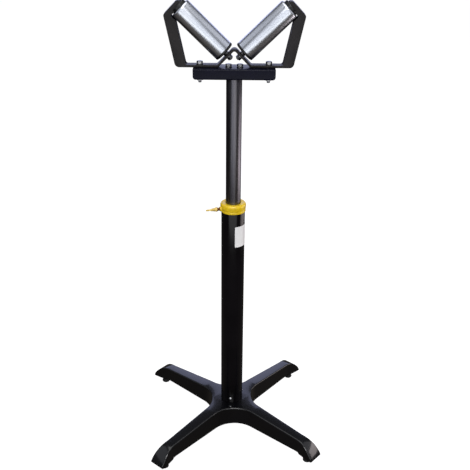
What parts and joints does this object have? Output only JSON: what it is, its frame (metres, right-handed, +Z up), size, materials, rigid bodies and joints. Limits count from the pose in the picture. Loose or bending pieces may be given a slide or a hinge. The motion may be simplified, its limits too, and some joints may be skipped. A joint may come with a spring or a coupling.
{
  "type": "v roller stand",
  "caption": "Free-standing pipe stand: a telescoping column on an X-shaped cast base carries a swivelling head with inclined rollers set in a V.",
  "frame": {"origin": "on the floor, on the column's axis, under the middle of the object's box", "axes": "+Z up along the column, X along the head beam and the rollers, -Y towards the viewer of the picture"},
  "size_m": [0.4806, 0.4806, 1.1733],
  "materials": {
    "base_paint": "semi-gloss black paint on a smooth casting",
    "column_paint": "gloss black paint",
    "beam_paint": "gloss blue-black paint",
    "frame_paint": "semi-gloss black paint, warm where it is lit",
    "mast_steel": "drawn steel tube with faint lengthwise streaks",
    "roller_zinc": "bright zinc plate",
    "zinc_fasteners": "bright zinc plate",
    "bearing_steel": "ground and polished",
    "plain_steel": "turned, unplated",
    "collar_yellow": "moulded gloss yellow",
    "grip_yellow": "yellow coating, bare brassy thread",
    "cap_plastic": "moulded satin black",
    "nylon": "natural moulded",
    "foot_rubber": "matte black"
  },
  "bodies": {
    "base": {"base_casting": "base_paint", "column_screw_front": "zinc_fasteners", "column_screw_right": "zinc_fasteners", "column_screw_left": "zinc_fasteners", "column_tube": "column_paint", "lock_collar": "collar_yellow"},
    "front_left_foot": {"foot_stud_front_left": "zinc_fasteners", "foot_pad_front_left": "foot_rubber"},
    "front_right_foot": {"foot_stud_front_right": "zinc_fasteners", "foot_pad_front_right": "foot_rubber"},
    "rear_left_foot": {"foot_stud_rear_left": "zinc_fasteners", "foot_pad_rear_left": "foot_rubber"},
    "rear_right_foot": {"foot_stud_rear_right": "zinc_fasteners", "foot_pad_rear_right": "foot_rubber"},
    "thumb_screw": {"wing_screw": "grip_yellow"},
    "guide_bush": {"mast_bush": "nylon"},
    "head": {"mast_tube": "mast_steel", "mast_foot_plug": "plain_steel", "bush_ring": "plain_steel", "mast_flange": "plain_steel", "head_beam": "beam_paint", "flange_bolt_left": "zinc_fasteners", "flange_bolt_right": "zinc_fasteners", "roller_frame": "frame_paint", "frame_bolt_left": "zinc_fasteners", "frame_bolt_right": "zinc_fasteners", "frame_washer_left": "zinc_fasteners", "frame_washer_right": "zinc_fasteners", "frame_nut_left": "zinc_fasteners", "frame_nut_right": "zinc_fasteners", "axle_left": "zinc_fasteners", "axle_spacer_left": "zinc_fasteners", "hex_spacer_left": "zinc_fasteners", "axle_washer_left": "zinc_fasteners", "axle_nut_left": "zinc_fasteners", "inner_race_left_lower": "bearing_steel", "inner_race_left_upper": "bearing_steel", "axle_right": "zinc_fasteners", "axle_spacer_right": "zinc_fasteners", "hex_spacer_right": "zinc_fasteners", "axle_washer_right": "zinc_fasteners", "axle_nut_right": "zinc_fasteners", "inner_race_right_lower": "bearing_steel", "inner_race_right_upper": "bearing_steel"},
    "left_roller": {"roller_tube_left": "roller_zinc", "end_cap_left_lower": "cap_plastic", "end_cap_left_upper": "cap_plastic", "outer_race_left_lower": "bearing_steel", "outer_race_left_upper": "bearing_steel"},
    "right_roller": {"roller_tube_right": "roller_zinc", "end_cap_right_lower": "cap_plastic", "end_cap_right_upper": "cap_plastic", "outer_race_right_lower": "bearing_steel", "outer_race_right_upper": "bearing_steel"},
    "left_lower_balls": {"ball_cage_left_lower": "bearing_steel"},
    "left_upper_balls": {"ball_cage_left_upper": "bearing_steel"},
    "right_lower_balls": {"ball_cage_right_lower": "bearing_steel"},
    "right_upper_balls": {"ball_cage_right_upper": "bearing_steel"}
  },
  "joints": [
    {"name": "height_slide", "type": "slide", "parent": "base", "child": "guide_bush", "axis": [0, 0, 1], "range_m": [-0.3, 0.155]},
    {"name": "head_swivel", "type": "hinge", "parent": "guide_bush", "child": "head", "pos_m": [0, 0, 0.43], "axis": [0, 0, 1], "continuous": true},
    {"name": "thumb_screw_turn", "type": "hinge", "parent": "base", "child": "thumb_screw", "pos_m": [-0.04755, -0.01545, 0.6643], "axis": [-0.9511, -0.309, 0], "range_deg": [0, 720]},
    {"name": "front_left_foot_slide", "type": "slide", "parent": "base", "child": "front_left_foot", "axis": [0, 0, -1], "range_m": [0, 0.008]},
    {"name": "front_right_foot_slide", "type": "slide", "parent": "base", "child": "front_right_foot", "axis": [0, 0, -1], "range_m": [0, 0.008]},
    {"name": "rear_left_foot_slide", "type": "slide", "parent": "base", "child": "rear_left_foot", "axis": [0, 0, -1], "range_m": [0, 0.008]},
    {"name": "rear_right_foot_slide", "type": "slide", "parent": "base", "child": "rear_right_foot", "axis": [0, 0, -1], "range_m": [0, 0.008]},
    {"name": "left_roller_spin", "type": "hinge", "parent": "head", "child": "left_roller", "pos_m": [-0.07406, 0, 1.10622], "axis": [-0.7193, 0, 0.6947], "continuous": true},
    {"name": "right_roller_spin", "type": "hinge", "parent": "head", "child": "right_roller", "pos_m": [0.07406, 0, 1.10622], "axis": [0.7193, 0, 0.6947], "continuous": true},
    {"name": "left_lower_balls_turn", "type": "hinge", "parent": "head", "child": "left_lower_balls", "pos_m": [-0.07406, 0, 1.10622], "axis": [-0.7193, 0, 0.6947], "continuous": true},
    {"name": "left_upper_balls_turn", "type": "hinge", "parent": "head", "child": "left_upper_balls", "pos_m": [-0.07406, 0, 1.10622], "axis": [-0.7193, 0, 0.6947], "continuous": true},
    {"name": "right_lower_balls_turn", "type": "hinge", "parent": "head", "child": "right_lower_balls", "pos_m": [0.07406, 0, 1.10622], "axis": [0.7193, 0, 0.6947], "continuous": true},
    {"name": "right_upper_balls_turn", "type": "hinge", "parent": "head", "child": "right_upper_balls", "pos_m": [0.07406, 0, 1.10622], "axis": [0.7193, 0, 0.6947], "continuous": true}
  ],
  "couplings": [
    {"joint": "left_lower_balls_turn", "follows": "left_roller_spin", "ratio": 0.618},
    {"joint": "left_upper_balls_turn", "follows": "left_roller_spin", "ratio": 0.618},
    {"joint": "right_lower_balls_turn", "follows": "right_roller_spin", "ratio": 0.618},
    {"joint": "right_upper_balls_turn", "follows": "right_roller_spin", "ratio": 0.618}
  ]
}
